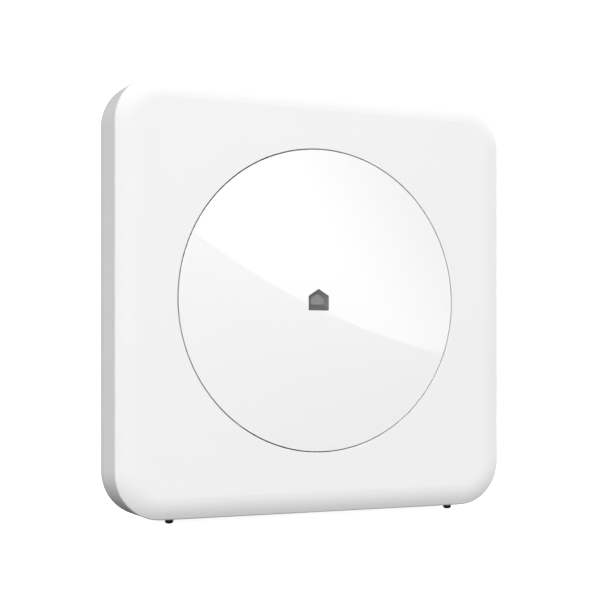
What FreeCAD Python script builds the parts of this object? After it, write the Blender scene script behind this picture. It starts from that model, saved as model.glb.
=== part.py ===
"""Smart home hub: a white rounded-square wall or shelf unit with a large round press face.

Local frame while modelling, in millimetres: origin at the centre of the front face, X to the
viewer's right, Y from the front face towards the back, Z up. export() moves every piece into
the row frame, whose origin is on the table under the middle of the hub.
"""
import FreeCAD
import Part

import math
import os

# ---- driving dimensions -------------------------------------------------------------------
FACE_SIDE = 180.0          # width and height of the housing
CORNER_RADIUS = 19.5       # of the square outline
RIM_WIDTH = 9.0            # how far in the rounded edge of the face reaches
RIM_DEPTH = 2.4            # how far back it falls
EDGE_RADIUS = 0.9          # of the tight edge where it meets the side wall
BODY_DEPTH = 24.0          # front face to the flat back of the rim
TOTAL_DEPTH = 38.0         # front face to the back of the raised bay
PARTING_Y = 17.4           # where the front housing ends
PARTING_GAP = 0.3
WALL = 2.2
DISC_RADIUS = 64.0         # round press face
DISC_GAP = 0.45            # seam around it
PRESS_TRAVEL = 0.6         # of the press face
FOOT_HEIGHT = 1.9
FOOT_RADIUS = 1.8
FRONT_FOOT_X = 65.8
FRONT_FOOT_Y = 6.5

# ---- worked out from them -----------------------------------------------------------------
HALF = FACE_SIDE / 2
CORNER_CENTRE = HALF - CORNER_RADIUS
FLOOR_Z = -HALF - FOOT_HEIGHT
OPENING_RADIUS = DISC_RADIUS + DISC_GAP
REAR_Y = PARTING_Y + PARTING_GAP

# Depths of the layers inside
DISC_THICKNESS = 3.0
CARRIER_Y = (3.0, 5.0)
CHASSIS_Y = (8.0, 10.0)
LED_BOARD_Y = (10.0, 11.2)
MAIN_BOARD_Y = (14.0, 15.6)
BOARD_BACK = MAIN_BOARD_Y[1]

# House-shaped status window in the middle of the disc
HOUSE_WIDTH = 9.5
HOUSE_WALL_HEIGHT = 6.2
HOUSE_ROOF_HEIGHT = 3.0
HOUSE_X, HOUSE_Z = -1.2, 0.4

# Raised bay on the back, with the cable niche cut into its foot
BAY_HALF_WIDTH = 62.0
BAY_TOP = 52.0
BAY_BOTTOM = -HALF
BAY_RADIUS = 12.0
NICHE_HALF_WIDTH = 45.0
NICHE_TOP = -44.0
NICHE_FRONT = 15.2
NICHE_SKIN = 1.6
REAR_FOOT_X = 53.5
REAR_FOOT_Y = 33.0

# Connector centres along the niche's ceiling, and their sizes (x, y)
POWER_X, POWER_SIZE = -37.0, (9.0, 11.0)
ETHERNET_X, ETHERNET_SIZE = -21.0, (16.0, 13.5)
USB_X, USB_SIZE = (-3.0, 13.5), (13.1, 6.0)
PAIRING_X, PAIRING_SIZE, PAIRING_Y = 28.0, (7.0, 4.0), 18.6
RESET_X, RESET_Y = 38.0, 18.0
PORT_MOUTH = NICHE_TOP - 0.2
PANEL_HALF_WIDTH = 43.0
PANEL_Y = (14.2, 31.0)
CONNECTOR_PLAY = 0.25

# Fastening
HOUSING_SCREWS = [(x, z) for x in (-74.0, 74.0) for z in (-74.0, 74.0)]
CHASSIS_SCREWS = [(x, z) for x in (-77.0, 77.0) for z in (-38.0, 38.0)]
BOARD_SCREWS = [(x, z) for x in (-69.0, 69.0) for z in (-34.0, 58.0)]
LED_BOARD_SCREWS = [(x, z) for x in (-24.0, 24.0) for z in (-15.0, 11.0)]
KEYHOLE_X = 35.0
KEYHOLE_Z = 26.0
KEYHOLE_ENTRY_RADIUS = 4.3
KEYHOLE_SLOT_RADIUS = 2.3
KEYHOLE_RISE = 8.5
GUIDE_AT = 35.4            # guide posts and return cones, on both diagonals of the disc
GUIDE_RADIUS = 2.0
HOOK_AT = 52.0             # snap hooks, straight up, down, left and right of the centre


# ---- small helpers ------------------------------------------------------------------------
def vec(x, y, z):
    return FreeCAD.Vector(x, y, z)


def box(x, y, z):
    """A box from three (low, high) pairs."""
    return Part.makeBox(x[1] - x[0], y[1] - y[0], z[1] - z[0], vec(x[0], y[0], z[0]))


def centred(middle, size):
    """The (low, high) pair of that size about a middle."""
    return (middle - size / 2, middle + size / 2)


def cylinder_y(x, z, radius, y):
    return Part.makeCylinder(radius, y[1] - y[0], vec(x, y[0], z), vec(0, 1, 0))


def cylinder_z(x, y, radius, z):
    return Part.makeCylinder(radius, z[1] - z[0], vec(x, y, z[0]), vec(0, 0, 1))


def fuse(shapes):
    shapes = list(shapes)
    return shapes[0].multiFuse(shapes[1:]).removeSplitter() if len(shapes) > 1 else shapes[0]


def cut(base, tools):
    return base.cut(list(tools))


def group(shapes):
    """Separate solids kept in one node."""
    return Part.makeCompound(list(shapes))


def outline(x, z, radii, y):
    """Rectangle face at depth y; radii run from the low-x low-z corner round to the high-x one."""
    corners = [(x[0], z[0]), (x[0], z[1]), (x[1], z[1]), (x[1], z[0])]
    inward = [(1, 1), (1, -1), (-1, -1), (-1, 1)]
    edges, previous, first = [], None, None
    for i, ((cx, cz), (ix, iz), r) in enumerate(zip(corners, inward, radii)):
        along_z = vec(cx, y, cz + iz * r)
        along_x = vec(cx + ix * r, y, cz)
        start, end = (along_x, along_z) if i % 2 == 0 else (along_z, along_x)
        bulge = (1 - math.sqrt(0.5)) * r
        middle = vec(cx + ix * bulge, y, cz + iz * bulge)
        if previous is not None:
            edges.append(Part.LineSegment(previous, start).toShape())
        if first is None:
            first = start
        edges.append(Part.Arc(start, middle, end).toShape())
        previous = end
    edges.append(Part.LineSegment(previous, first).toShape())
    return Part.Face(Part.Wire(edges))


def plate(x, z, radius, y):
    """Rounded rectangle slab along Y; radius is one number or four."""
    radii = radius if isinstance(radius, (list, tuple)) else [radius] * 4
    return outline(x, z, radii, y[0]).extrude(vec(0, y[1] - y[0], 0))


def square_plate(inset, y):
    """Slab with the housing's own outline, drawn in by inset."""
    half = HALF - inset
    return plate((-half, half), (-half, half), CORNER_RADIUS - inset, y)


def edges_at_depth(shape, y):
    """The edges that lie wholly in the plane of that depth."""
    return [e for e in shape.Edges if max(abs(e.BoundBox.YMin - y), abs(e.BoundBox.YMax - y)) < 1e-6]


def rounded_edge_block(inset, face_y, rim_width, rim_depth, back_y):
    """Square block whose front edge falls away in a shallow arc, then turns a tight edge."""
    reach = HALF - inset
    centre_x = reach - rim_width
    rim_radius = (rim_width**2 + rim_depth**2) / (2 * rim_depth)
    rim_centre = vec(centre_x, face_y + rim_radius, 0)
    drop = math.sqrt((rim_radius - EDGE_RADIUS) ** 2 - (rim_width - EDGE_RADIUS) ** 2)
    edge_centre = vec(reach - EDGE_RADIUS, rim_centre.y - drop, 0)
    lean = math.atan2(edge_centre.x - rim_centre.x, drop)

    def on_arc(centre, radius, angle):
        return centre + vec(radius * math.sin(angle), -radius * math.cos(angle), 0)

    face_end, meeting = on_arc(rim_centre, rim_radius, 0), on_arc(rim_centre, rim_radius, lean)
    edge_end = on_arc(edge_centre, EDGE_RADIUS, math.pi / 2)
    corners = [
        edge_end,
        vec(reach, back_y, 0),
        vec(CORNER_CENTRE, back_y, 0),
        vec(CORNER_CENTRE, face_y, 0),
        face_end,
    ]
    edges = [
        Part.Arc(face_end, on_arc(rim_centre, rim_radius, lean / 2), meeting).toShape(),
        Part.Arc(meeting, on_arc(edge_centre, EDGE_RADIUS, (lean + math.pi / 2) / 2), edge_end).toShape(),
    ]
    edges += [Part.LineSegment(a, b).toShape() for a, b in zip(corners, corners[1:])]
    section = Part.Face(Part.Wire(edges))
    side = section.copy()
    side.translate(vec(0, 0, -CORNER_CENTRE))
    side = side.extrude(vec(0, 0, 2 * CORNER_CENTRE))
    corner = section.copy()
    corner.translate(vec(0, 0, CORNER_CENTRE))
    corner = corner.revolve(vec(CORNER_CENTRE, 0, CORNER_CENTRE), vec(0, 1, 0), -90)
    core = (-CORNER_CENTRE, CORNER_CENTRE)
    pieces = [box(core, (face_y, back_y), core)]
    for quarter in range(4):
        for piece in (side, corner):
            turned = piece.copy()
            turned.rotate(vec(0, 0, 0), vec(0, 1, 0), 90 * quarter)
            pieces.append(turned)
    return fuse(pieces)


def house_wire(inset, y, sill=0.0):
    """Five-sided house outline at depth y, drawn in by inset, its base raised further by sill."""
    half = HOUSE_WIDTH / 2 - inset
    base = -(HOUSE_WALL_HEIGHT + HOUSE_ROOF_HEIGHT) / 2
    slope = math.atan2(HOUSE_ROOF_HEIGHT, HOUSE_WIDTH / 2)
    ridge = base + HOUSE_WALL_HEIGHT + HOUSE_ROOF_HEIGHT - inset / math.cos(slope)
    eaves = ridge - half * math.tan(slope)
    low = base + inset + sill
    outline = ((-half, low), (-half, eaves), (0, ridge), (half, eaves), (half, low))
    points = [vec(HOUSE_X + x, y, HOUSE_Z + z) for x, z in outline]
    return Part.makePolygon(points + points[:1])


def house(inset, y):
    """House-shaped prism between two depths."""
    return Part.Face(house_wire(inset, y[0])).extrude(vec(0, y[1] - y[0], 0))


def screw(x, z, seat_y, length, head_radius, shank_radius, towards=1):
    """Pan-head screw along Y with a cross recess; the head stands on the towards side of seat_y."""
    head_height = head_radius * 0.72
    head = Part.makeCylinder(head_radius, head_height, vec(x, seat_y, z), vec(0, towards, 0))
    top = seat_y + towards * head_height
    head = head.makeFillet(head_height * 0.45, edges_at_depth(head, top))
    shank = Part.makeCylinder(shank_radius, length, vec(x, seat_y, z), vec(0, -towards, 0))
    recess = sorted((top + towards, top - towards * head_height * 0.55))
    arms = [
        box(centred(x, 1.3 * head_radius), recess, centred(z, 0.3 * head_radius)),
        box(centred(x, 0.3 * head_radius), recess, centred(z, 1.3 * head_radius)),
    ]
    return cut(fuse([head, shank]), arms)


def tube_along(points, radius):
    """Round cable through the points: straight runs joined by tangent arcs."""
    runs = [(b - a).Length for a, b in zip(points, points[1:])]
    edges, start = [], points[0]
    for i in range(1, len(points) - 1):
        before = (points[i] - points[i - 1]).normalize()
        after = (points[i + 1] - points[i]).normalize()
        half_turn = before.getAngle(after) / 2
        cut_back = 0.45 * min(runs[i - 1], runs[i])
        bend = cut_back / math.tan(half_turn)
        a, b = points[i] - before * cut_back, points[i] + after * cut_back
        inward = (after - before).normalize()
        middle = points[i] + inward * (bend / math.cos(half_turn) - bend)
        edges += [Part.LineSegment(start, a).toShape(), Part.Arc(a, middle, b).toShape()]
        start = b
    edges.append(Part.LineSegment(start, points[-1]).toShape())
    path = Part.Wire(edges)
    ring = Part.Wire(Part.makeCircle(radius, points[0], points[1] - points[0]))
    return path.makePipeShell([ring], True, False)


# ---- housing ------------------------------------------------------------------------------
def front_housing():
    """Face and side walls in one moulding, with the disc's well and the screw columns inside."""
    outer = rounded_edge_block(0, 0, RIM_WIDTH, RIM_DEPTH, PARTING_Y)
    inner = rounded_edge_block(WALL, WALL, RIM_WIDTH - WALL, RIM_DEPTH, PARTING_Y + 1)
    shell = cut(outer, [inner])
    well_outer = cylinder_y(0, 0, OPENING_RADIUS + 2, (WALL - 0.2, 7.0))
    columns = [cylinder_y(x, z, 4.0, (WALL - 0.2, 18.0)) for x, z in HOUSING_SCREWS]
    posts = [cylinder_y(x, z, 3.5, (WALL - 0.2, CHASSIS_Y[0])) for x, z in CHASSIS_SCREWS]
    shell = fuse([shell, well_outer, *columns, *posts])
    opening = cylinder_y(0, 0, OPENING_RADIUS, (-1, 8))
    pilots = [cylinder_y(x, z, 1.3, (6.0, 19.0)) for x, z in HOUSING_SCREWS]
    pilots += [cylinder_y(x, z, 1.05, (3.4, 9.0)) for x, z in CHASSIS_SCREWS]
    shell = cut(shell, [opening, *pilots, *foot_sockets(FRONT_FOOT_X, FRONT_FOOT_Y)])
    lip = [e for e in edges_at_depth(shell, 0) if abs(e.BoundBox.XMax - OPENING_RADIUS) < 0.01]
    return shell.makeFillet(0.12, lip)


POCKET_Y = 31.0            # floor of the pocket behind each keyhole
LABEL_X, LABEL_Z = (-29.0, 29.0), (-26.0, 6.0)
LABEL_RECESS = 0.3


def rating_label():
    """Blank label in a shallow recess on the back."""
    x, z = (LABEL_X[0] + 0.5, LABEL_X[1] - 0.5), (LABEL_Z[0] + 0.5, LABEL_Z[1] - 0.5)
    return plate(x, z, 1.5, (TOTAL_DEPTH - LABEL_RECESS, TOTAL_DEPTH - LABEL_RECESS + 0.15))


def rear_rim():
    """The outer block of the rear housing, with its back edge rounded."""
    block = square_plate(0, (REAR_Y, BODY_DEPTH))
    return block.makeFillet(2.0, edges_at_depth(block, BODY_DEPTH))


def bay_plate(inset, y):
    """Slab with the raised bay's outline, drawn in by inset."""
    x = (-BAY_HALF_WIDTH + inset, BAY_HALF_WIDTH - inset)
    z = (BAY_BOTTOM + inset, BAY_TOP - inset)
    return plate(x, z, [6 - inset, BAY_RADIUS - inset, BAY_RADIUS - inset, 6 - inset], y)


def keyhole(x):
    """Wall-screw opening: a round entry with a slot rising from it."""
    through = (TOTAL_DEPTH - WALL - 1, TOTAL_DEPTH + 1)
    entry = cylinder_y(x, KEYHOLE_Z, KEYHOLE_ENTRY_RADIUS, through)
    slot_top = KEYHOLE_Z + KEYHOLE_RISE
    slot = box(centred(x, 2 * KEYHOLE_SLOT_RADIUS), through, (KEYHOLE_Z, slot_top))
    return fuse([entry, slot, cylinder_y(x, slot_top, KEYHOLE_SLOT_RADIUS, through)])


def keyhole_pocket(x, grow, y):
    """Block round a keyhole; the wall-screw's head turns inside the smaller one."""
    z = (KEYHOLE_Z - KEYHOLE_ENTRY_RADIUS - grow, KEYHOLE_Z + KEYHOLE_RISE + KEYHOLE_ENTRY_RADIUS + grow)
    return plate(centred(x, 2 * (KEYHOLE_ENTRY_RADIUS + grow)), z, KEYHOLE_ENTRY_RADIUS, y)


def vent_slots():
    """Row of upright slots in the back above the bay, and a row through the bay's top."""
    pitch = 6.0
    slots = []
    for i in range(-9, 10):
        x = i * pitch
        slots.append(plate(centred(x, 2.6), (60.0, 78.0), 1.29, (BODY_DEPTH - WALL - 1, BODY_DEPTH + 1)))
    for i in range(-7, 8):
        slots.append(box(centred(i * pitch, 2.6), (26.0, 34.0), (BAY_TOP - WALL - 1, BAY_TOP + 1)))
    return slots


def rear_housing():
    """Back shell: rim, raised bay, cable niche, screw wells, wall keyholes and vents."""
    bay = bay_plate(0, (BODY_DEPTH - 1, TOTAL_DEPTH))
    bay = bay.makeFillet(2.5, edges_at_depth(bay, TOTAL_DEPTH))
    outer = fuse([rear_rim(), bay])
    cavity = [
        square_plate(WALL, (REAR_Y - 1, BODY_DEPTH - WALL)),
        bay_plate(WALL, (BODY_DEPTH - WALL - 1, TOTAL_DEPTH - WALL)),
    ]
    shell = cut(outer, cavity)
    lip = cut(square_plate(WALL + 0.15, (15.0, REAR_Y + 1)), [square_plate(WALL + 1.4, (14.0, REAR_Y + 2))])
    skin = NICHE_HALF_WIDTH + NICHE_SKIN
    niche_z = (-HALF + 2.5, NICHE_TOP + NICHE_SKIN)
    niche_block = box((-skin, skin), (NICHE_FRONT - NICHE_SKIN, TOTAL_DEPTH - 1), niche_z)
    wells = [cylinder_y(x, z, 4.8, (18.2, BODY_DEPTH - WALL + 0.2)) for x, z in HOUSING_SCREWS]
    posts = [cylinder_y(x, z, 3.4, (BOARD_BACK, BODY_DEPTH - WALL + 0.2)) for x, z in BOARD_SCREWS]
    pocket_y = (POCKET_Y - 1.2, TOTAL_DEPTH - WALL + 0.2)
    pockets = [keyhole_pocket(side * KEYHOLE_X, 1.6, pocket_y) for side in (-1, 1)]
    shell = fuse([shell, lip, niche_block, *wells, *posts, *pockets])
    width = (-NICHE_HALF_WIDTH, NICHE_HALF_WIDTH)
    openings = [
        box(width, (NICHE_FRONT, TOTAL_DEPTH + 1), (-HALF + 4.1, NICHE_TOP)),
        box(width, (BODY_DEPTH, TOTAL_DEPTH + 1), (-HALF - 1, NICHE_TOP)),
        box((-PANEL_HALF_WIDTH, PANEL_HALF_WIDTH), PANEL_Y, (NICHE_TOP, NICHE_TOP + NICHE_SKIN + 1)),
        plate(LABEL_X, LABEL_Z, 2.0, (TOTAL_DEPTH - LABEL_RECESS, TOTAL_DEPTH + 1)),
        *vent_slots(),
    ]
    for side in (-1, 1):
        openings.append(keyhole(side * KEYHOLE_X))
        openings.append(keyhole_pocket(side * KEYHOLE_X, 0.4, (POCKET_Y, TOTAL_DEPTH - WALL)))
    for x, z in HOUSING_SCREWS:
        openings += [cylinder_y(x, z, 1.7, (17.0, 21.0)), cylinder_y(x, z, 3.3, (20.4, BODY_DEPTH + 1))]
    openings += [cylinder_y(x, z, 1.05, (BOARD_BACK - 1, 21.4)) for x, z in BOARD_SCREWS]
    openings += foot_sockets(REAR_FOOT_X, REAR_FOOT_Y)
    return cut(shell, openings)


# ---- feet ---------------------------------------------------------------------------------
FOOT_STEM_RADIUS = 1.0


def foot_sockets(x, y):
    """Blind holes for the stems of a left and right foot."""
    z = (-HALF - 1, -HALF + 3)
    return [cylinder_z(side * x, y, FOOT_STEM_RADIUS + 0.02, z) for side in (-1, 1)]


def foot(x, y):
    """Small rubber foot: a rounded button with a stem pushed into the housing."""
    button = cylinder_z(x, y, FOOT_RADIUS, (FLOOR_Z, -HALF))
    low = [e for e in button.Edges if e.BoundBox.ZMax < FLOOR_Z + 0.01]
    button = button.makeFillet(1.2, low)
    return fuse([button, cylinder_z(x, y, FOOT_STEM_RADIUS, (-HALF - 0.1, -HALF + WALL))])


def front_feet():
    return group(foot(sx * FRONT_FOOT_X, FRONT_FOOT_Y) for sx in (-1, 1))


def rear_feet():
    return group(foot(sx * REAR_FOOT_X, REAR_FOOT_Y) for sx in (-1, 1))


# ---- press face ---------------------------------------------------------------------------
LENS_FRONT = 0.3           # how deep the lens's edge sits in the window
LENS_DISH = 1.4            # how much deeper its flat middle is
LENS_BORDER = 1.7          # width of the slope between them
LENS_SILL = 0.9            # extra width of that slope along the base


def centre_disc():
    """Glossy round plate with the house-shaped window cut through it."""
    disc = cylinder_y(0, 0, DISC_RADIUS, (0, DISC_THICKNESS))
    disc = disc.makeFillet(0.12, edges_at_depth(disc, 0))
    return cut(disc, [house(0, (-1, DISC_THICKNESS + 1))])


def status_lens():
    """Smoked lens and light guide: a dished house that fills the window from behind."""
    body = house(0.08, (LENS_FRONT, CARRIER_Y[1] + 0.6))
    rim = house_wire(0.12, LENS_FRONT - 0.01)
    middle = house_wire(LENS_BORDER, LENS_FRONT + LENS_DISH, LENS_SILL)
    return cut(body, [Part.makeLoft([rim, middle], True, True)])


def guide_points():
    return [(x, z) for x in (-GUIDE_AT, GUIDE_AT) for z in (-GUIDE_AT, GUIDE_AT)]


def hook(quarter):
    """Snap arm on the carrier's back whose barb catches behind the chassis."""
    arm = box((HOOK_AT - 0.8, HOOK_AT + 0.8), (CARRIER_Y[1] - 0.2, 11.4), (-3.5, 3.5))
    barb = box((HOOK_AT + 0.7, HOOK_AT + 1.8), (CHASSIS_Y[1] + 0.05, 11.4), (-3.5, 3.5))
    lead_in = [e for e in barb.Edges if e.BoundBox.XMin > HOOK_AT + 1.7 and e.BoundBox.YMin > 11.3]
    barb = barb.makeChamfer(0.7, lead_in)
    whole = fuse([arm, barb])
    whole.rotate(vec(0, 0, 0), vec(0, 1, 0), 90 * quarter)
    return whole


def disc_carrier():
    """Dark plate bonded behind the disc, with guide posts, hooks and stiffening rings."""
    base = cylinder_y(0, 0, DISC_RADIUS - 1.2, CARRIER_Y)
    rings = [
        cut(cylinder_y(0, 0, r + 0.7, (4.5, 6.2)), [cylinder_y(0, 0, r - 0.7, (4, 7))])
        for r in (25.0, 44.0, 60.0)
    ]
    posts = [cylinder_y(x, z, GUIDE_RADIUS, (CARRIER_Y[1] - 0.2, 13.0)) for x, z in guide_points()]
    hooks = [hook(q) for q in range(4)]
    carrier = fuse([base, *rings, *posts, *hooks])
    return cut(carrier, [house(0.02, (CARRIER_Y[0] - 1, CARRIER_Y[1] + 1))])


def return_cones():
    """Four thin silicone cones round the guide posts that push the disc forward again."""
    depth, wall = CHASSIS_Y[0] - CARRIER_Y[1], 0.4
    cones = []
    for x, z in guide_points():
        front, axis = vec(x, CARRIER_Y[1], z), vec(0, 1, 0)
        outer = Part.makeCone(2.8, 4.0, depth, front, axis)
        cones.append(cut(outer, [Part.makeCone(2.8 - wall, 4.0 - wall, depth, front, axis)]))
    return group(cones)


def inner_chassis():
    """Moulded plate behind the disc: guides the posts, seats the return cones, holds the light board."""
    base = plate((-83, 83), (-83, 83), 14.0, CHASSIS_Y)
    collars = [cylinder_y(x, z, 4.2, (CHASSIS_Y[0], 12.4)) for x, z in guide_points()]
    ribs = [cut(cylinder_y(0, 0, 69.5, (8.0, 12.0)), [cylinder_y(0, 0, 68.3, (7, 13))])]
    body = fuse([base, *collars, *ribs])
    holes = [cylinder_y(x, z, GUIDE_RADIUS + 0.06, (7, 14)) for x, z in guide_points()]
    for quarter in range(4):
        slot = box((HOOK_AT - 1.6, HOOK_AT + 1.2), (7, 13), (-4.2, 4.2))
        slot.rotate(vec(0, 0, 0), vec(0, 1, 0), 90 * quarter)
        holes.append(slot)
    holes.append(plate((-19, 19), (-15.5, 10), 2.0, (7, 13)))
    holes += [cylinder_y(x, z, 5.2, (7, 13)) for x, z in HOUSING_SCREWS]
    holes += [cylinder_y(x, z, 1.5, (7, 11)) for x, z in CHASSIS_SCREWS]
    holes += [cylinder_y(x, z, 0.9, (8.6, 11)) for x, z in LED_BOARD_SCREWS]
    for sx in (-1, 1):
        holes.append(plate(centred(sx * 40, 14), (-14, 14), 3.0, (7, 11)))
        holes.append(plate((-14, 14), centred(sx * 34, 12), 3.0, (7, 11)))
    return cut(body, holes)


# ---- light board --------------------------------------------------------------------------
LED_XS = (-4.5, 0.0, 4.5)
SWITCH_Z = -11.0


def led_board():
    """Small board behind the window, with its screw holes."""
    board = plate((-27, 27), (-18, 14), 2.0, LED_BOARD_Y)
    return cut(board, [cylinder_y(x, z, 1.2, (9, 12)) for x, z in LED_BOARD_SCREWS])


def status_leds():
    """Three colour LEDs in a row behind the lens."""
    leds = []
    for x in LED_XS:
        package = box(centred(x, 3.5), (LED_BOARD_Y[0] - 1.5, LED_BOARD_Y[0]), (-1.75, 1.75))
        leds.append(cut(package, [cylinder_y(x, 0, 1.3, (LED_BOARD_Y[0] - 2, LED_BOARD_Y[0] - 1.2))]))
    return group(leds)


def light_shroud():
    """Foam frame that keeps the LEDs' light inside the window."""
    outer = plate((-9, 9), (-7.4, 7.4), 2.0, (6.9, LED_BOARD_Y[0]))
    return cut(outer, [plate((-7, 7), (-5.4, 5.4), 1.0, (6, 11))])


def tact_body(x, z, y_face, y_back):
    """Square tact switch body facing the disc, with a bore for its stem."""
    body = box(centred(x, 6.0), (y_face, y_back), centred(z, 6.0))
    return cut(body, [cylinder_y(x, z, 1.8, (y_face - 1, y_face + 1.5))])


def home_switch_body():
    return tact_body(0, SWITCH_Z, 6.5, LED_BOARD_Y[0])


def home_switch_stem():
    stem = cylinder_y(0, SWITCH_Z, 1.7, (CARRIER_Y[1] + 0.05, 7.3))
    return stem.makeFillet(0.3, edges_at_depth(stem, CARRIER_Y[1] + 0.05))


# ---- ribbon between the boards ------------------------------------------------------------
RIBBON_TOP_Z = -7.0
RIBBON_LOW_Z = -30.0
RIBBON_WIDTH = 12.0
RIBBON_THICKNESS = 0.3


def ribbon_connectors():
    """Flat-cable sockets, one on each board."""
    upper = box((-8, 8), (LED_BOARD_Y[1], LED_BOARD_Y[1] + 1.2), (RIBBON_TOP_Z - 2.2, RIBBON_TOP_Z + 2.2))
    lower = box((-8, 8), (MAIN_BOARD_Y[0] - 1.2, MAIN_BOARD_Y[0]), (RIBBON_LOW_Z - 2.2, RIBBON_LOW_Z + 2.2))
    slot_x = centred(0, RIBBON_WIDTH + 0.3)
    upper_slot = box(slot_x, centred(LED_BOARD_Y[1] + 0.6, 0.4), (RIBBON_TOP_Z - 3, RIBBON_TOP_Z + 0.8))
    lower_slot = box(slot_x, centred(MAIN_BOARD_Y[0] - 0.6, 0.4), (RIBBON_LOW_Z - 0.8, RIBBON_LOW_Z + 3))
    return group([cut(upper, [upper_slot]), cut(lower, [lower_slot])])


def ribbon_cable():
    """Flat cable that steps from the light board's depth to the main board's."""
    near, far = LED_BOARD_Y[1] + 0.6, MAIN_BOARD_Y[0] - 0.6
    step = far - near
    half = RIBBON_THICKNESS / 2
    bend_top, bend_low = -16.0, -21.0
    front = [vec(0, near - half, RIBBON_TOP_Z), vec(0, near - half, bend_top)]
    front += [vec(0, near - half + step, bend_low), vec(0, far - half, RIBBON_LOW_Z)]
    back = [p + vec(0, RIBBON_THICKNESS, 0) for p in reversed(front)]
    face = Part.Face(Part.makePolygon([*front, *back, front[0]]))
    strip = face.extrude(vec(RIBBON_WIDTH, 0, 0))
    strip.translate(vec(-RIBBON_WIDTH / 2, 0, 0))
    return strip


# ---- main board ---------------------------------------------------------------------------
def main_board():
    """Main circuit board with its mounting holes."""
    board = plate((-75, 75), (NICHE_TOP + NICHE_SKIN + 0.4, 64), 3.0, MAIN_BOARD_Y)
    return cut(board, [cylinder_y(x, z, 1.6, (13, 17)) for x, z in BOARD_SCREWS])


def on_board(x, z, height, start=0.0):
    """Rectangular component on the board's back."""
    return box(x, (BOARD_BACK + start, BOARD_BACK + start + height), z)


PROCESSOR_X, PROCESSOR_Z = 10.0, 10.0
PAD_TOP = 1.9


def processor():
    package = on_board(centred(PROCESSOR_X, 15), centred(PROCESSOR_Z, 15), 1.4)
    return package.makeChamfer(0.2, edges_at_depth(package, BOARD_BACK + 1.4))


def thermal_pad():
    return on_board(centred(PROCESSOR_X, 13), centred(PROCESSOR_Z, 13), PAD_TOP - 1.4, 1.4)


def heatsink():
    """Finned aluminium block on the processor."""
    base = on_board(centred(PROCESSOR_X, 24), centred(PROCESSOR_Z, 24), 1.6, PAD_TOP)
    fin_xs = [PROCESSOR_X + i * 3.2 for i in range(-3, 4)]
    fins = [on_board(centred(x, 0.9), centred(PROCESSOR_Z, 24), 7.5, PAD_TOP) for x in fin_xs]
    return fuse([base, *fins])


def memory_chips():
    """Two memory packages and the flash chip."""
    chips = [on_board((-13, -3), (0, 11), 1.1), on_board((-13, -3), (13, 24), 1.1)]
    return group([*chips, on_board((26, 38), (2, 18), 1.2)])


def shield_cans():
    """Two pressed cans over the radio front ends."""
    cans = []
    for x, z in (((-66, -42), (-24, 0)), ((44, 66), (-22, 4))):
        can = on_board(x, z, 2.6)
        can = can.makeFillet(0.6, edges_at_depth(can, BOARD_BACK + 2.6))
        hollow = on_board((x[0] + 0.3, x[1] - 0.3), (z[0] + 0.3, z[1] - 0.3), 2.3)
        cans.append(cut(can, [hollow]))
    return group(cans)


MODULE_XS = (-48.0, -20.0, 46.0)
MODULE_Z = (30.0, 56.0)
MODULE_WIDTH = 18.0
MODULE_LIFT = 3.0


def radio_modules():
    """Plug-in radio boards, each with its own small can."""
    modules = []
    for x in MODULE_XS:
        board = on_board(centred(x, MODULE_WIDTH), MODULE_Z, 1.0, MODULE_LIFT)
        can = on_board(centred(x, 14), (33, 47), 1.8, MODULE_LIFT + 1.0)
        can = can.makeFillet(0.4, edges_at_depth(can, BOARD_BACK + MODULE_LIFT + 2.8))
        modules.append(fuse([board, can]))
    return group(modules)


def module_headers():
    """Pin strips that carry the radio boards."""
    strips = []
    for x in MODULE_XS:
        for side in (-1, 1):
            strips.append(on_board(centred(x + side * 7.6, 1.8), (31, 49), MODULE_LIFT))
    return group(strips)


def coaxial_sockets():
    """Tiny round antenna sockets on the outer two radio boards."""
    top = BOARD_BACK + MODULE_LIFT + 1.0
    return group(cylinder_y(x, 52.5, 1.5, (top, top + 1.2)) for x in (MODULE_XS[0], MODULE_XS[2]))


def antenna_strips():
    """Flat strip antennas standing against the two side walls."""
    strips = []
    for side in (-1, 1):
        inner = side * (HALF - WALL - 2.3)
        outer = side * (HALF - WALL - 1.5)
        body = box(sorted((inner, outer)), (7.0, 14.8), (0, 62))
        notch = box(sorted((inner - side, outer + side)), (10.0, 12.0), (6, 56))
        strips.append(cut(body, [notch]))
    return group(strips)


def antenna_cables():
    """Thin coaxial leads from the radio boards to the strips."""
    depth = BOARD_BACK + MODULE_LIFT + 1.7
    cables = []
    for side, module_x in ((-1, MODULE_XS[0]), (1, MODULE_XS[2])):
        strip = side * (HALF - WALL - 2.3 - 0.65)
        route = [
            vec(module_x + side * 1.6, depth, 52.5),
            vec(side * 60.0, depth, 52.5),
            vec(side * 68.0, 17.6, 49.5),
            vec(side * 77.0, 17.4, 47.0),
            vec(side * 82.0, 13.4, 44.0),
            vec(strip, 13.4, 38.0),
            vec(strip, 13.4, 30.0),
        ]
        cables.append(tube_along(route, 0.6))
    return group(cables)


def network_transformer():
    """Moulded isolation transformer between the processor and the network jack."""
    block = on_board((-29, -13), (-18, -8), 4.6)
    return block.makeChamfer(0.5, edges_at_depth(block, BOARD_BACK + 4.6))


def crystals():
    """Two small metal clock crystals."""
    return group(on_board(centred(x, 3.2), centred(z, 2.5), 0.8) for x, z in ((-8, -4), (10, -6)))


def coin_cell_holder():
    """Round clip for the clock's backup cell."""
    x, z = -28.0, 10.0
    well = cylinder_y(x, z, 10.1, (BOARD_BACK + 0.6, 30))
    ring = cut(cylinder_y(x, z, 11.5, (BOARD_BACK, BOARD_BACK + 3.6)), [well])
    return cut(ring, [box((x - 4, x + 4), (BOARD_BACK + 0.6, 30), (z - 20, z - 5))])


def coin_cell():
    cell = cylinder_y(-28.0, 10.0, 10.0, (BOARD_BACK + 0.6, BOARD_BACK + 3.8))
    return cell.makeFillet(0.5, edges_at_depth(cell, BOARD_BACK + 3.8))


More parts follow.
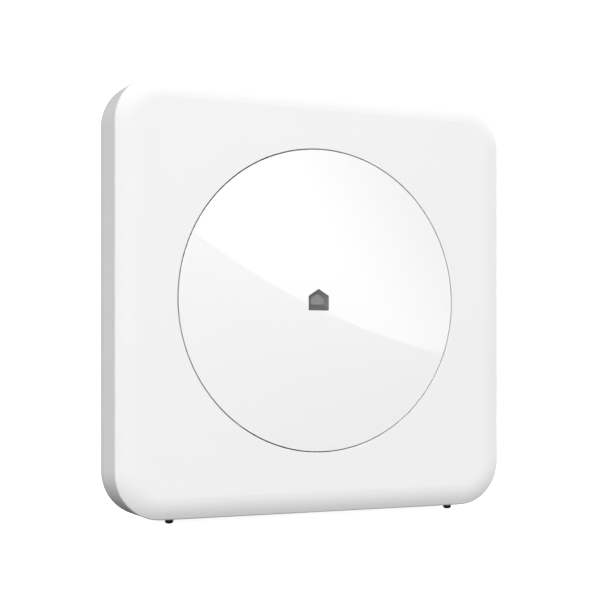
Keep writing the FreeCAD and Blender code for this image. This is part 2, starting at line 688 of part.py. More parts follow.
def capacitors():
    """Electrolytic cans beside the power inlet, standing off the board."""
    large, small = (4.0, 9.0), (3.15, 7.0)
    spots = [(-54, 18, *large), (-45, 18, *large), (-54, 8, *small), (46, 14, *small), (54, 14, *small)]
    cans = []
    for x, z, radius, height in spots:
        can = cylinder_y(x, z, radius, (BOARD_BACK, BOARD_BACK + height))
        cans.append(can.makeFillet(0.5, edges_at_depth(can, BOARD_BACK + height)))
    return group(cans)


def power_inductors():
    """Two square moulded coils of the power converter."""
    coils = []
    for x in (-60.0, -50.0):
        coil = on_board(centred(x, 7.5), centred(-30.0, 7.5), 4.2)
        coils.append(coil.makeFillet(1.0, edges_at_depth(coil, BOARD_BACK + 4.2)))
    return group(coils)


# ---- connectors ---------------------------------------------------------------------------
def port_block(x, size, length, back=0.0):
    """Connector body on the board's back, its mouth in the niche's ceiling."""
    depth = (BOARD_BACK + back, BOARD_BACK + back + size[1])
    return box(centred(x, size[0]), depth, (PORT_MOUTH, PORT_MOUTH + length))


SHELL_SKIN = 0.3
ETHERNET_LENGTH = 21.0
ETHERNET_CAVITY_DEPTH = 14.0
ETHERNET_CAVITY_Y = (BOARD_BACK + 4.4, BOARD_BACK + 11.2)
LATCH_Y = (BOARD_BACK + 1.6, BOARD_BACK + 4.5)


def ethernet_cavity():
    """Space for the network plug and its latch."""
    z = (PORT_MOUTH - 1, PORT_MOUTH + ETHERNET_CAVITY_DEPTH)
    plug = box(centred(ETHERNET_X, 11.8), ETHERNET_CAVITY_Y, z)
    return fuse([plug, box(centred(ETHERNET_X, 6.2), LATCH_Y, z)])


def ethernet_jack_shell():
    """Bright shield round the network jack."""
    outer = port_block(ETHERNET_X, ETHERNET_SIZE, ETHERNET_LENGTH)
    inner_size = (ETHERNET_SIZE[0] - 2 * SHELL_SKIN, ETHERNET_SIZE[1] - 2 * SHELL_SKIN)
    inner = port_block(ETHERNET_X, inner_size, ETHERNET_LENGTH - 2 * SHELL_SKIN, SHELL_SKIN)
    inner.translate(vec(0, 0, SHELL_SKIN))
    return cut(outer, [inner, ethernet_cavity()])


def ethernet_jack_insert():
    """Moulded insert that the contacts sit in."""
    size = (ETHERNET_SIZE[0] - 2 * SHELL_SKIN, ETHERNET_SIZE[1] - 2 * SHELL_SKIN)
    block = port_block(ETHERNET_X, size, ETHERNET_LENGTH - 2 * SHELL_SKIN, SHELL_SKIN)
    block.translate(vec(0, 0, SHELL_SKIN))
    return cut(block, [ethernet_cavity()])


def ethernet_contacts():
    """Eight sprung contact wires that slope across the top of the plug's space."""
    pins = []
    root_y = ETHERNET_CAVITY_Y[1]
    for i in range(8):
        x = ETHERNET_X + (i - 3.5) * 1.02
        start = vec(x, root_y - 0.3, PORT_MOUTH + 3.5)
        end = vec(x, root_y - 2.2, PORT_MOUTH + 10.5)
        pins.append(Part.makeCylinder(0.23, (end - start).Length, start, end - start))
    return group(pins)


USB_LENGTH = 14.0


def usb_shells():
    """Pressed shells of the two USB ports."""
    shells = []
    for x in USB_X:
        outer = port_block(x, USB_SIZE, USB_LENGTH)
        inner_size = (USB_SIZE[0] - 2 * SHELL_SKIN, USB_SIZE[1] - 2 * SHELL_SKIN)
        inner = port_block(x, inner_size, USB_LENGTH, SHELL_SKIN)
        inner.translate(vec(0, 0, -SHELL_SKIN))
        shells.append(cut(outer, [inner]))
    return group(shells)


def usb_tongues():
    """Insulating tongue and base inside each port."""
    tongues = []
    depth = (BOARD_BACK + SHELL_SKIN + 0.5, BOARD_BACK + SHELL_SKIN + 2.3)
    bottom = PORT_MOUTH + USB_LENGTH - SHELL_SKIN
    for x in USB_X:
        tongue = box(centred(x, 11.1), depth, (PORT_MOUTH + 1.2, bottom))
        base = box(
            centred(x, USB_SIZE[0] - 2 * SHELL_SKIN),
            (BOARD_BACK + SHELL_SKIN, BOARD_BACK + USB_SIZE[1] - SHELL_SKIN),
            (bottom - 3.0, bottom),
        )
        tongues.append(fuse([tongue, base]))
    return group(tongues)


POWER_AXIS_Y = BOARD_BACK + 6.5
POWER_BORE_RADIUS = 3.0
POWER_BORE_DEPTH = 9.5
POWER_PIN_RADIUS = 1.0


def power_jack():
    """Barrel socket for the mains adapter."""
    body = port_block(POWER_X, POWER_SIZE, 14.0)
    bore_z = (PORT_MOUTH - 1, PORT_MOUTH + POWER_BORE_DEPTH)
    bore = cylinder_z(POWER_X, POWER_AXIS_Y, POWER_BORE_RADIUS, bore_z)
    seat = cylinder_z(POWER_X, POWER_AXIS_Y, POWER_PIN_RADIUS, (PORT_MOUTH, PORT_MOUTH + 12))
    return cut(body, [bore, seat])


def power_jack_pin():
    pin = cylinder_z(POWER_X, POWER_AXIS_Y, POWER_PIN_RADIUS, (PORT_MOUTH + 1.0, PORT_MOUTH + 12))
    return pin.makeFillet(0.6, [e for e in pin.Edges if e.BoundBox.ZMax < PORT_MOUTH + 1.01])


def port_panel():
    """Dark plate round the connectors, held by a tab at each end."""
    z = (NICHE_TOP, NICHE_TOP + NICHE_SKIN)
    half = PANEL_HALF_WIDTH - 0.2
    base = box((-half, half), (PANEL_Y[0] + 0.2, PANEL_Y[1] - 0.2), z)
    near, far = half - 1.5, PANEL_HALF_WIDTH + 1.2
    tabs = [box(x, (24.0, 29.5), (z[1], z[1] + 1.0)) for x in ((near, far), (-far, -near))]
    body = fuse([base, *tabs])
    through = (z[0] - 1, z[1] + 2)
    play = 2 * CONNECTOR_PLAY
    top = BOARD_BACK - CONNECTOR_PLAY

    def window(x, size):
        return box(centred(x, size[0] + play), (top, top + size[1] + play), through)

    holes = [window(POWER_X, POWER_SIZE), window(ETHERNET_X, ETHERNET_SIZE)]
    holes += [window(x, USB_SIZE) for x in USB_X]
    button_x = centred(PAIRING_X, PAIRING_SIZE[0] + 0.3)
    holes.append(box(button_x, centred(PAIRING_Y, PAIRING_SIZE[1] + 0.3), through))
    holes.append(cylinder_z(RESET_X, RESET_Y, 1.1, through))
    return cut(body, holes)


# ---- rear buttons -------------------------------------------------------------------------
PANEL_INSIDE = NICHE_TOP + NICHE_SKIN
PAIRING_TRAVEL = 0.4
RESET_TRAVEL = 0.3
PAIRING_STEM_TIP = PANEL_INSIDE + 1.0
SIDE_SWITCH_FACE = PANEL_INSIDE + 2.6


def pairing_button():
    """Small cap in the ceiling of the niche, kept in by a flange."""
    x, y = centred(PAIRING_X, PAIRING_SIZE[0]), centred(PAIRING_Y, PAIRING_SIZE[1])
    cap = box(x, y, (NICHE_TOP - 1.2, PANEL_INSIDE + 0.3))
    low = [e for e in cap.Edges if e.BoundBox.ZMax < NICHE_TOP - 1.1]
    cap = cap.makeFillet(0.4, low)
    flange = box(
        centred(PAIRING_X, PAIRING_SIZE[0] + 1.4),
        centred(PAIRING_Y, PAIRING_SIZE[1] + 1.2),
        (PANEL_INSIDE + 0.05, PANEL_INSIDE + 0.9),
    )
    return fuse([cap, flange])


def side_switch_body(x, y):
    """Tact switch lying on the board, its bore facing the niche."""
    body = box(centred(x, 6.0), (BOARD_BACK, y + 2.6), (SIDE_SWITCH_FACE, SIDE_SWITCH_FACE + 4.5))
    return cut(body, [cylinder_z(x, y, 1.3, (SIDE_SWITCH_FACE - 1, SIDE_SWITCH_FACE + 1.6))])


def pairing_switch_body():
    return side_switch_body(PAIRING_X, PAIRING_Y)


def pairing_switch_stem():
    return cylinder_z(PAIRING_X, PAIRING_Y, 1.2, (PAIRING_STEM_TIP, SIDE_SWITCH_FACE + 1.0))


def reset_switch_body():
    return side_switch_body(RESET_X, RESET_Y)


def reset_switch_stem():
    stem = cylinder_z(RESET_X, RESET_Y, 1.2, (PANEL_INSIDE + 0.2, SIDE_SWITCH_FACE + 1.0))
    return stem.makeFillet(0.25, [e for e in stem.Edges if e.BoundBox.ZMax < PANEL_INSIDE + 0.21])


# ---- fasteners ----------------------------------------------------------------------------
def housing_screws():
    return group(screw(x, z, 20.4, 12.0, 2.8, 1.28) for x, z in HOUSING_SCREWS)


def chassis_screws():
    return group(screw(x, z, CHASSIS_Y[1], 6.0, 2.3, 1.0) for x, z in CHASSIS_SCREWS)


def led_board_screws():
    return group(screw(x, z, LED_BOARD_Y[1], 2.4, 1.7, 0.85) for x, z in LED_BOARD_SCREWS)


def board_screws():
    return group(screw(x, z, MAIN_BOARD_Y[0], 6.5, 2.3, 1.0, towards=-1) for x, z in BOARD_SCREWS)


NODES = [
    front_housing, rear_housing, rating_label, port_panel, front_feet, rear_feet,
    centre_disc, status_lens, disc_carrier, return_cones, inner_chassis,
    led_board, status_leds, light_shroud, home_switch_body, home_switch_stem,
    ribbon_connectors, ribbon_cable, main_board, processor, thermal_pad, heatsink,
    memory_chips, shield_cans, radio_modules, module_headers, coaxial_sockets,
    antenna_strips, antenna_cables, network_transformer, crystals,
    coin_cell_holder, coin_cell, capacitors, power_inductors,
    ethernet_jack_shell, ethernet_jack_insert, ethernet_contacts,
    usb_shells, usb_tongues, power_jack, power_jack_pin,
    pairing_button, pairing_switch_body, pairing_switch_stem,
    reset_switch_body, reset_switch_stem,
    housing_screws, chassis_screws, led_board_screws, board_screws,
]


def export():
    """Writes one STEP per node, moved into the row frame."""
    os.makedirs("parts", exist_ok=True)
    to_row = vec(0, -TOTAL_DEPTH / 2, -FLOOR_Z)
    for make in NODES:
        shape = make()
        shape.translate(to_row)
        if not shape.isValid() or not shape.Solids:
            raise RuntimeError(make.__name__ + " is not a valid solid")
        shape.exportStep(os.path.join("parts", make.__name__ + ".step"))
        print("%-22s %2d solids %10.1f mm3" % (make.__name__, len(shape.Solids), shape.Volume))


export()
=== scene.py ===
"""Looks for the smart home hub: materials, small surface details, stage, light and camera."""
import math

import bmesh
import bpy
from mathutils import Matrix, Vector

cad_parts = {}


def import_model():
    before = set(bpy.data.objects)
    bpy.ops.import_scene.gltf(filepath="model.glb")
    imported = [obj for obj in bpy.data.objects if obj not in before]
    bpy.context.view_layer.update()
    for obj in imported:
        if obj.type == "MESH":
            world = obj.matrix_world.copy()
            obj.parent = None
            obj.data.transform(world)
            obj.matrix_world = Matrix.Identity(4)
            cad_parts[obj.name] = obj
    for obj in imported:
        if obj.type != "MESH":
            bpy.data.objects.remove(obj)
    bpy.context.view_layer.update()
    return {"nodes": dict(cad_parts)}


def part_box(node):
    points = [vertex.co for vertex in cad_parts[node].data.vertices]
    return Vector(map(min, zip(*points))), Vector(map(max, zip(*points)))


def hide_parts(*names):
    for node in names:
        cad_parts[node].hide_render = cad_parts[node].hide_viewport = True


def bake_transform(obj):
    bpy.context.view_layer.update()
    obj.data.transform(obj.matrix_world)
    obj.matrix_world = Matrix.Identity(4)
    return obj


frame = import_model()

nodes = frame["nodes"]


# ---- node helpers -------------------------------------------------------------------------
class Tree:
    """A Principled material built up node by node; coordinates are the object's own, in metres."""

    def __init__(self, name, colour, rough, **sockets):
        self.material = bpy.data.materials.new(name)
        self.material.use_nodes = True
        self.nodes = self.material.node_tree.nodes
        self.links = self.material.node_tree.links
        self.shader = self.nodes["Principled BSDF"]
        self.place = self.add("ShaderNodeTexCoord").outputs["Object"]
        self.shader.inputs["Base Color"].default_value = (*colour, 1)
        self.shader.inputs["Roughness"].default_value = rough
        for socket, value in sockets.items():
            self.shader.inputs[socket.replace("_", " ")].default_value = value
        self.relief = None

    def add(self, kind, inputs=None, **settings):
        node = self.nodes.new(kind)
        for key, value in settings.items():
            setattr(node, key, value)
        for key, value in (inputs or {}).items():
            if isinstance(value, bpy.types.NodeSocket):
                self.links.new(value, node.inputs[key])
            else:
                node.inputs[key].default_value = value
        return node

    def math(self, operation, a, b=0.0):
        return self.add("ShaderNodeMath", {0: a, 1: b}, operation=operation).outputs[0]

    def stretch(self, scale):
        return self.add("ShaderNodeMapping", {"Vector": self.place, "Scale": scale}).outputs[0]

    def noise(self, scale, detail=3.0, rough=0.5, place=None):
        inputs = {"Vector": place or self.place, "Scale": scale, "Detail": detail,
                  "Roughness": rough}
        return self.add("ShaderNodeTexNoise", inputs).outputs["Fac"]

    def cells(self, scale):
        """Distance from the middle of the nearest of many scattered cells."""
        inputs = {"Vector": self.place, "Scale": scale}
        return self.add("ShaderNodeTexVoronoi", inputs).outputs["Distance"]

    def remap(self, value, low, high, to_low, to_high, smooth=False):
        inputs = {"Value": value, "From Min": low, "From Max": high,
                  "To Min": to_low, "To Max": to_high}
        kind = "SMOOTHSTEP" if smooth else "LINEAR"
        return self.add("ShaderNodeMapRange", inputs, interpolation_type=kind).outputs["Result"]

    def mix(self, factor, a, b):
        node = self.add("ShaderNodeMix", data_type="RGBA")
        for socket, value in ((node.inputs[0], factor), (node.inputs[6], a), (node.inputs[7], b)):
            if isinstance(value, bpy.types.NodeSocket):
                self.links.new(value, socket)
            else:
                socket.default_value = (*value, 1) if isinstance(value, tuple) else value
        return node.outputs[2]

    def axes(self):
        """The place's X, Y and Z."""
        return self.add("ShaderNodeSeparateXYZ", {"Vector": self.place}).outputs

    def facing(self):
        """The surface normal's X, Y and Z in the object's own frame."""
        texture = self.add("ShaderNodeTexCoord")
        return self.add("ShaderNodeSeparateXYZ", {"Vector": texture.outputs["Normal"]}).outputs

    def wave(self, value):
        """Distance of a value from the middle between two whole numbers: 0 to a half."""
        return self.math("ABSOLUTE", self.math("SUBTRACT", self.math("FRACT", value), 0.5))

    def colour(self, socket):
        self.links.new(socket, self.shader.inputs["Base Color"])

    def coat(self, weight, rough):
        self.shader.inputs["Coat Weight"].default_value = weight
        self.shader.inputs["Coat Roughness"].default_value = rough

    def uneven_sheen(self, scale, detail, smoothest, roughest, low=0.3, high=0.7):
        """Roughness that wanders between two values as the noise goes from low to high."""
        rough = self.remap(self.noise(scale, detail), low, high, smoothest, roughest)
        self.links.new(rough, self.shader.inputs["Roughness"])

    def bump(self, height, depth, strength=1.0):
        """Adds a height field of that depth in metres; later ones build on earlier ones."""
        inputs = {"Height": height, "Distance": depth, "Strength": strength}
        if self.relief:
            inputs["Normal"] = self.relief
        self.relief = self.add("ShaderNodeBump", inputs).outputs["Normal"]
        self.links.new(self.relief, self.shader.inputs["Normal"])

    def tint(self, colour, amount, scale, detail=2.0):
        """Gentle uneven colour: the base colour wanders by amount either way."""
        low = tuple(c * (1 - amount) for c in colour)
        high = tuple(min(1.0, c * (1 + amount)) for c in colour)
        self.colour(self.mix(self.noise(scale, detail), low, high))


# ---- materials ----------------------------------------------------------------------------
# Noise scales are in cells per metre, and bump depths in metres.
def moulded(name, colour, rough, grain=2600.0, depth=4e-6, amount=0.012):
    """Injection-moulded plastic: spark-eroded grain, slow sink and a slightly uneven sheen."""
    spread, sink = 0.05, 2e-5
    t = Tree(name, colour, rough)
    t.tint(colour, amount, 35.0)
    t.uneven_sheen(420.0, 4.0, rough - spread, rough + spread)
    t.bump(t.noise(26.0, 1.0), sink, 0.3)
    t.bump(t.noise(grain, 2.0), depth)
    return t.material


def lacquered(name, colour):
    """Polished plastic under a clear coat, with the faintest orange peel."""
    orange_peel = 6e-7
    t = Tree(name, colour, 0.18, Coat_IOR=1.52)
    t.coat(1.0, 0.015)
    t.tint(colour, 0.006, 28.0)
    t.uneven_sheen(260.0, 3.0, 0.15, 0.22)
    t.bump(t.noise(140.0, 1.0), orange_peel)
    return t.material


def smoked_lens(name):
    """Smoked status lens: grey floor, painted light on the slope under the eaves, painted shade on
    the sides, darkest painted shade on the sill.
    """
    floor_grey, sides_painted_shade = (0.200, 0.200, 0.202), (0.150, 0.150, 0.153)
    eaves_painted_light, sill_painted_shade = (0.270, 0.270, 0.273), (0.034, 0.034, 0.036)
    t = Tree(name, floor_grey, 0.36)
    t.coat(0.25, 0.12)
    # Painted light and shade by facing: the down-facing eaves are painted lighter, the sides
    # darker and the up-facing sill darkest.
    _, back, up = t.facing()
    painted_slope_tones = t.mix(t.remap(up, -0.4, -0.1, 0.0, 1.0, smooth=True), eaves_painted_light, sides_painted_shade)
    painted_slope_tones = t.mix(t.remap(up, 0.1, 0.4, 0.0, 1.0, smooth=True), painted_slope_tones, sill_painted_shade)
    t.colour(t.mix(t.remap(back, -0.99, -0.8, 1.0, 0.0, smooth=True), painted_slope_tones, floor_grey))
    t.uneven_sheen(900.0, 3.0, 0.30, 0.42)
    t.bump(t.noise(1800.0, 2.0), 2e-6)
    return t.material


def rubber(name, colour, rough=0.3):
    """Rubber or silicone with a faint skin and an uneven, mostly duller sheen."""
    t = Tree(name, colour, rough)
    t.coat(0.35, 0.12)
    t.tint(colour, 0.15, 300.0)
    t.uneven_sheen(900.0, 4.0, rough - 0.08, rough + 0.12)
    t.bump(t.noise(3200.0, 2.0), 8e-6)
    return t.material


def metal(name, colour, rough, stretch=(1, 1, 1)):
    """Bare or plated metal; a small stretch number on an axis draws the grain out along it."""
    spread = 0.08
    t = Tree(name, colour, rough, Metallic=1.0)
    grain = t.noise(1800.0, 4.0, 0.6, t.stretch(stretch))
    t.colour(t.mix(grain, tuple(c * 0.86 for c in colour), colour))
    t.uneven_sheen(300.0, 4.0, rough - spread, rough + spread)
    t.bump(grain, 2e-6)
    return t.material


def circuit_board(name, resist, copper_tone, pitch):
    """Solder resist over etched tracks: tracks show as a lighter, slightly raised tone."""
    via_tone = (0.55, 0.52, 0.40)
    t = Tree(name, resist, 0.32)
    t.coat(0.5, 0.12)
    x, _, z = t.axes()
    lanes = []
    for across, shift in ((z, 3.1), (x, 7.7)):
        bend = t.math("ROUND", t.math("MULTIPLY", t.noise(90.0 + shift, 0.0), 9.0))
        stripe = t.wave(t.math("ADD", t.math("MULTIPLY", across, 1 / pitch), bend))
        here = t.remap(t.noise(150.0 + 10 * shift, 0.0), 0.52, 0.54, 0.0, 1.0)
        lanes.append(t.math("MULTIPLY", t.remap(stripe, 0.2, 0.26, 1.0, 0.0), here))
    tracks = t.math("MAXIMUM", lanes[0], lanes[1])
    vias = t.remap(t.cells(420.0), 0.14, 0.17, 1.0, 0.0)
    shade = t.mix(tracks, resist, copper_tone)
    t.colour(t.mix(t.math("MULTIPLY", vias, 0.7), shade, via_tone))
    t.uneven_sheen(500.0, 3.0, 0.26, 0.40)
    t.bump(tracks, 2.5e-5)
    t.bump(vias, 3e-5)
    return t.material


def epoxy(name, colour=(0.018, 0.018, 0.020)):
    """Moulded chip package with a laser-dulled top."""
    t = Tree(name, colour, 0.5)
    t.tint(colour, 0.25, 700.0, 4.0)
    t.uneven_sheen(260.0, 2.0, 0.38, 0.62, low=0.35, high=0.65)
    t.bump(t.noise(5200.0, 3.0), 7e-6)
    return t.material


def foam(name, colour):
    """Open-cell foam: painted shade in the cell hollows, matt, with a little fuzz."""
    t = Tree(name, colour, 0.9, Sheen_Weight=0.3)
    cells = t.cells(2600.0)
    # Painted shade: the cell hollows, where the bump sinks, are darkened to half the colour.
    t.colour(t.mix(cells, tuple(c * 0.5 for c in colour), colour))
    t.bump(cells, 8e-5)
    return t.material


def printed_film(name):
    """Blank label film: paler field, thin grey frame a little in from its edge, no lettering."""
    field, frame_tone = (0.60, 0.61, 0.62), (0.28, 0.29, 0.30)
    frame_outside, frame_inside, blur = 0.0011, 0.0015, 0.0001
    t = Tree(name, field, 0.4)
    x, _, z = t.axes()
    low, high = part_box("rating_label")
    bars = []
    for value, least, most in ((x, low.x, high.x), (z, low.z, high.z)):
        middle, half = (least + most) / 2, (most - least) / 2
        reach = t.math("ABSOLUTE", t.math("SUBTRACT", value, middle))
        beyond, within = (
            t.remap(reach, half - inset - blur, half - inset, 0.0, 1.0)
            for inset in (frame_outside, frame_inside))
        bars.append(t.math("SUBTRACT", within, beyond))
    t.colour(t.mix(t.math("MAXIMUM", bars[0], bars[1]), field, frame_tone))
    t.uneven_sheen(800.0, 3.0, 0.34, 0.46)
    t.bump(t.noise(2400.0, 3.0), 5e-6)
    return t.material


def sleeved_can(name):
    """Capacitor: dark shrink sleeve on the side, bare aluminium on the end that faces back."""
    sleeve, aluminium = (0.012, 0.014, 0.035), (0.72, 0.73, 0.74)
    t = Tree(name, sleeve, 0.3)
    end = t.remap(t.facing()[1], 0.9, 0.95, 0.0, 1.0)
    t.colour(t.mix(end, sleeve, aluminium))
    t.links.new(end, t.shader.inputs["Metallic"])
    t.uneven_sheen(700.0, 3.0, 0.24, 0.36)
    t.bump(t.noise(1500.0, 2.0), 6e-6)
    return t.material


def ribbon(name):
    """White flat cable with grey conductors showing through."""
    film, conductor, conductors_per_metre = (0.80, 0.80, 0.78), (0.42, 0.42, 0.43), 1000.0
    t = Tree(name, film, 0.3)
    x = t.axes()[0]
    line = t.remap(t.wave(t.math("MULTIPLY", x, conductors_per_metre)), 0.18, 0.30, 1.0, 0.0)
    t.colour(t.mix(line, film, conductor))
    t.uneven_sheen(600.0, 3.0, 0.24, 0.36)
    t.bump(line, 4e-5)
    return t.material


def black(name, rough, level=0.014):
    """Small black mouldings inside, level being how dark they are."""
    return moulded(name, (level, level, level + 0.001), rough, amount=0.1)


FOOT_BLACK = (0.012, 0.012, 0.012)
STEM_WHITE = (0.74, 0.74, 0.70)
BRIGHT = (0.80, 0.80, 0.80)
ZINC = (0.66, 0.67, 0.69)
DRAWN_ALONG_Z = (1, 1, 0.1)

FINISH = {
    # Outside
    "front_housing": moulded("satin_white_face", (0.83, 0.83, 0.835), 0.46),
    "rear_housing": moulded(
        "satin_white_back", (0.80, 0.80, 0.805), 0.52, grain=2000.0, depth=8e-6),
    "centre_disc": lacquered("polished_white", (0.832, 0.832, 0.837)),
    "status_lens": smoked_lens("smoked_lens"),
    "rating_label": printed_film("label_film"),
    "port_panel": moulded(
        "panel_grey", (0.045, 0.045, 0.048), 0.55, grain=1500.0, depth=1.2e-5, amount=0.06),
    "front_feet": rubber("foot_rubber_front", FOOT_BLACK),
    "rear_feet": rubber("foot_rubber_rear", FOOT_BLACK),
    "housing_screws": metal("black_zinc", (0.09, 0.09, 0.10), 0.35),
    # Disc, its light and its switch
    "disc_carrier": moulded(
        "carrier_black", (0.020, 0.020, 0.022), 0.5, depth=8e-6, amount=0.08),
    "return_cones": rubber("silicone_grey", (0.33, 0.34, 0.35), 0.5),
    "inner_chassis": moulded(
        "chassis_black", (0.022, 0.022, 0.024), 0.55, depth=1e-5, amount=0.08),
    "status_leds": moulded("led_package", (0.82, 0.80, 0.66), 0.25, depth=2e-6),
    "light_shroud": foam("foam_grey", (0.06, 0.06, 0.065)),
    "home_switch_body": black("switch_black", 0.4),
    "home_switch_stem": moulded("stem_white", STEM_WHITE, 0.3),
    "led_board": circuit_board(
        "resist_green_small", (0.006, 0.055, 0.022), (0.018, 0.12, 0.05), 0.0008),
    "ribbon_connectors": moulded("connector_ivory", (0.66, 0.60, 0.46), 0.42, amount=0.05),
    "ribbon_cable": ribbon("ribbon_film"),
    "chassis_screws": metal("zinc_chassis", ZINC, 0.28),
    "led_board_screws": metal("zinc_small", ZINC, 0.28),
    # Main board and radios
    "main_board": circuit_board(
        "resist_green_main", (0.006, 0.050, 0.020), (0.018, 0.11, 0.045), 0.0011),
    "radio_modules": circuit_board(
        "resist_blue", (0.004, 0.012, 0.07), (0.012, 0.035, 0.16), 0.0009),
    "processor": epoxy("epoxy_processor"),
    "memory_chips": epoxy("epoxy_memory", (0.022, 0.022, 0.024)),
    "network_transformer": epoxy("epoxy_transformer", (0.016, 0.016, 0.018)),
    "thermal_pad": rubber("thermal_silicone", (0.20, 0.28, 0.40), 0.6),
    "heatsink": metal("extruded_aluminium", (0.78, 0.79, 0.80), 0.34, (1, 1, 0.03)),
    "shield_cans": metal("tinned_can", (0.74, 0.74, 0.72), 0.30, DRAWN_ALONG_Z),
    "crystals": metal("crystal_can", (0.76, 0.76, 0.75), 0.25),
    "module_headers": black("header_black", 0.45),
    "coaxial_sockets": metal("gold_plate", (0.90, 0.68, 0.30), 0.22),
    "antenna_strips": metal("etched_copper", (0.85, 0.50, 0.32), 0.32, (1, 1, 0.05)),
    "antenna_cables": moulded("coax_jacket", (0.035, 0.035, 0.038), 0.35, amount=0.1),
    "coin_cell_holder": moulded("holder_black", (0.016, 0.016, 0.018), 0.42, amount=0.1),
    "coin_cell": metal("cell_steel", (0.76, 0.76, 0.75), 0.22, (0.05, 1, 1)),
    "capacitors": sleeved_can("capacitor_sleeve"),
    "power_inductors": moulded(
        "ferrite", (0.055, 0.055, 0.060), 0.62, grain=900.0, depth=4e-5, amount=0.2),
    "board_screws": metal("zinc_board", ZINC, 0.28),
    # Sockets and buttons
    "ethernet_jack_shell": metal("bright_shield_network", BRIGHT, 0.20, DRAWN_ALONG_Z),
    "usb_shells": metal("bright_shield_usb", BRIGHT, 0.20, DRAWN_ALONG_Z),
    "ethernet_jack_insert": black("insert_black", 0.42, 0.012),
    "ethernet_contacts": metal("gold_wire", (0.92, 0.70, 0.32), 0.18),
    "usb_tongues": black("tongue_black", 0.38),
    "power_jack": black("power_black", 0.42, 0.013),
    "power_jack_pin": metal("power_pin", (0.80, 0.80, 0.78), 0.18),
    "pairing_button": moulded("button_grey", (0.26, 0.26, 0.265), 0.42, amount=0.03),
    "pairing_switch_body": black("pairing_switch_black", 0.4),
    "pairing_switch_stem": moulded("pairing_stem_white", STEM_WHITE, 0.3),
    "reset_switch_body": black("reset_switch_black", 0.4),
    "reset_switch_stem": moulded("reset_stem_white", STEM_WHITE, 0.3),
}
for node, material in FINISH.items():
    mesh = nodes[node].data
    mesh.materials.clear()
    mesh.materials.append(material)

# The silicone cones: a plain copy of their mesh stands in for the CAD node, which is hidden.
# On the real hub they shorten as the disc goes in, narrow ends on the carrier, wide ends on the
# chassis.
cones = bpy.data.objects.new("soft_return_cones", nodes["return_cones"].data.copy())
bpy.context.scene.collection.objects.link(cones)
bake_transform(cones)
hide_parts("return_cones")


# ---- stage --------------------------------------------------------------------------------
STAGE_WHITE = 0.93
FLOOR_GLOW, BACKDROP_GLOW = 0.9, 1.0
FLOOR_REACH, BACKDROP_RADIUS = 8.0, 6.0
# World light: how tightly a glow is gathered, and the sines of the angles up between which the
# dark ground turns light. Each glow is degrees right of the front, degrees up, strength.
GLOW_POWER = 8.0
DARK_BELOW, LIT_ABOVE = -0.40, -0.05
GLOWS = [(-135, 0, 2.0), (-45, 30, 2.9), (-15, 0, 1.5), (15, 30, 2.6), (105, 22, 3.8)]
# Panel behind the hub, aimed at its middle.
PANEL_PLACE, PANEL_TARGET = (0.30, 1.20, 0.30), (0, 0.019, 0.09)
PANEL_SIZE, PANEL_WATTS = 0.8, 9.0
# Round diffuser that the glossy disc mirrors. It fades over this range of X + Z.
DIFFUSER_PLACE, DIFFUSER_TARGET = (0.976, -1.2, 1.121), (0.976, 0, 1.121)
DIFFUSER_SIZE, DIFFUSER_WATTS = 2.13, 20.0
FADE_FROM, FADE_TO = 0.80, 1.02
CAMERA_PLACE, CAMERA_TURN = (-0.2415, -0.5224, 0.0665), -24.75
LENS_MM, SENSOR_MM = 78.9, 36.0
SHIFT_X, SHIFT_Y = -0.002, 0.1008
CLIP_NEAR, CLIP_FAR = 0.02, 200.0


def staged(name, mesh, glow):
    """A stage piece that shows to the camera but adds no light of its own to the hub."""
    obj = bpy.data.objects.new(name, mesh)
    bpy.context.scene.collection.objects.link(obj)
    t = Tree(name + "_white", (STAGE_WHITE,) * 3, 0.75)
    t.shader.inputs["Emission Color"].default_value = (1, 1, 1, 1)
    t.shader.inputs["Emission Strength"].default_value = glow
    t.uneven_sheen(6.0, 2.0, 0.7, 0.8)
    mesh.materials.append(t.material)
    obj.visible_diffuse = obj.visible_glossy = obj.visible_transmission = False
    obj.visible_shadow = False


def floor():
    """A pale seamless floor that runs out past the backdrop."""
    mesh = bpy.data.meshes.new("floor")
    r = FLOOR_REACH
    mesh.from_pydata([(-r, -r, 0), (r, -r, 0), (r, r, 0), (-r, r, 0)], [], [(0, 1, 2, 3)])
    staged("floor", mesh, FLOOR_GLOW)


def backdrop():
    """A white shell all round and overhead, inside the clipping range of every view."""
    shell = bmesh.new()
    bmesh.ops.create_uvsphere(shell, u_segments=64, v_segments=32, radius=BACKDROP_RADIUS)
    mesh = bpy.data.meshes.new("backdrop")
    shell.to_mesh(mesh)
    shell.free()
    staged("backdrop", mesh, BACKDROP_GLOW)


def softbox(name, place, target, size, power, shape="RECTANGLE"):
    """An area light at place, aimed at target."""
    data = bpy.data.lights.new(name, "AREA")
    data.shape = shape
    data.size = data.size_y = size
    data.energy = power
    obj = bpy.data.objects.new(name, data)
    obj.location = place
    obj.rotation_euler = (Vector(target) - Vector(place)).to_track_quat("-Z", "Y").to_euler()
    obj.visible_camera = False
    bpy.context.scene.collection.objects.link(obj)
    return obj


def back_panel():
    """Lights the sides and back, and isn't seen as a reflection."""
    panel = softbox("back_panel", PANEL_PLACE, PANEL_TARGET, PANEL_SIZE, PANEL_WATTS)
    panel.visible_glossy = False


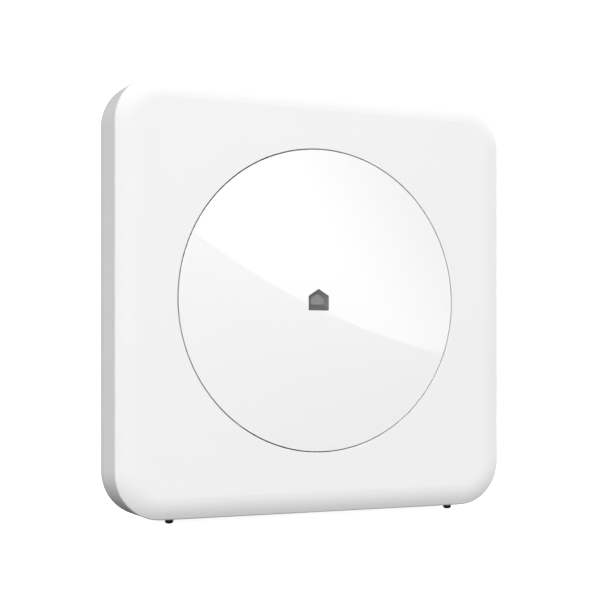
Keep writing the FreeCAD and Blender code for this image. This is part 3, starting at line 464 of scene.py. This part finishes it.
def front_disk():
    """A large round diffuser that only shows as a reflection; it fades out up and to the right."""
    disk = softbox(
        "front_disk", DIFFUSER_PLACE, DIFFUSER_TARGET, DIFFUSER_SIZE, DIFFUSER_WATTS, "DISK")
    disk.visible_diffuse = False
    disk.data.use_nodes = True
    n, links = disk.data.node_tree.nodes, disk.data.node_tree.links
    across = n.new("ShaderNodeVectorMath")
    across.operation = "DOT_PRODUCT"
    across.inputs[1].default_value = (1, 0, 1)
    links.new(n.new("ShaderNodeNewGeometry").outputs["Position"], across.inputs[0])
    fade = n.new("ShaderNodeMapRange")
    span = {"From Min": FADE_FROM, "From Max": FADE_TO, "To Min": 1.0, "To Max": 0.0}
    for key, number in span.items():
        fade.inputs[key].default_value = number
    links.new(across.outputs["Value"], fade.inputs["Value"])
    links.new(fade.outputs["Result"], n["Emission"].inputs["Strength"])


def world():
    """Broad soft glows over dark ground."""
    w = bpy.data.worlds.new("studio")
    bpy.context.scene.world = w
    w.use_nodes = True
    n, links = w.node_tree.nodes, w.node_tree.links
    place = n.new("ShaderNodeTexCoord").outputs["Generated"]

    def step(operation, a, b):
        node = n.new("ShaderNodeMath")
        node.operation = operation
        links.new(a, node.inputs[0])
        if isinstance(b, bpy.types.NodeSocket):
            links.new(b, node.inputs[1])
        else:
            node.inputs[1].default_value = b
        return node.outputs[0]

    total = None
    for turn, up, strength in GLOWS:
        turn, up = math.radians(turn), math.radians(up)
        towards = n.new("ShaderNodeVectorMath")
        towards.operation = "DOT_PRODUCT"
        links.new(place, towards.inputs[0])
        towards.inputs[1].default_value = (
            math.sin(turn) * math.cos(up), -math.cos(turn) * math.cos(up), math.sin(up))
        glow = step("POWER", step("MAXIMUM", towards.outputs["Value"], 0.0), GLOW_POWER)
        glow = step("MULTIPLY", glow, strength)
        total = step("ADD", total, glow) if total else glow
    height = n.new("ShaderNodeSeparateXYZ")
    links.new(place, height.inputs[0])
    horizon = n.new("ShaderNodeMapRange")
    horizon.interpolation_type = "SMOOTHSTEP"
    horizon.inputs["From Min"].default_value = DARK_BELOW
    horizon.inputs["From Max"].default_value = LIT_ABOVE
    links.new(height.outputs["Z"], horizon.inputs["Value"])
    total = step("MULTIPLY", total, horizon.outputs["Result"])
    links.new(total, n["Background"].inputs["Strength"])
    n["Background"].inputs["Color"].default_value = (1, 1, 1, 1)


def camera():
    """Level camera in front and to the left; its shift lifts the picture's middle to the hub's."""
    data = bpy.data.cameras.new("camera")
    data.lens, data.sensor_width = LENS_MM, SENSOR_MM
    data.shift_x, data.shift_y = SHIFT_X, SHIFT_Y
    data.clip_start, data.clip_end = CLIP_NEAR, CLIP_FAR
    obj = bpy.data.objects.new("camera", data)
    obj.location = CAMERA_PLACE
    obj.rotation_euler = (math.radians(90), 0, math.radians(CAMERA_TURN))
    bpy.context.scene.collection.objects.link(obj)
    bpy.context.scene.camera = obj


floor()
backdrop()
world()
back_panel()
front_disk()
camera()
bpy.context.scene.view_settings.view_transform = "Standard"
bpy.context.scene.view_settings.look = "None"
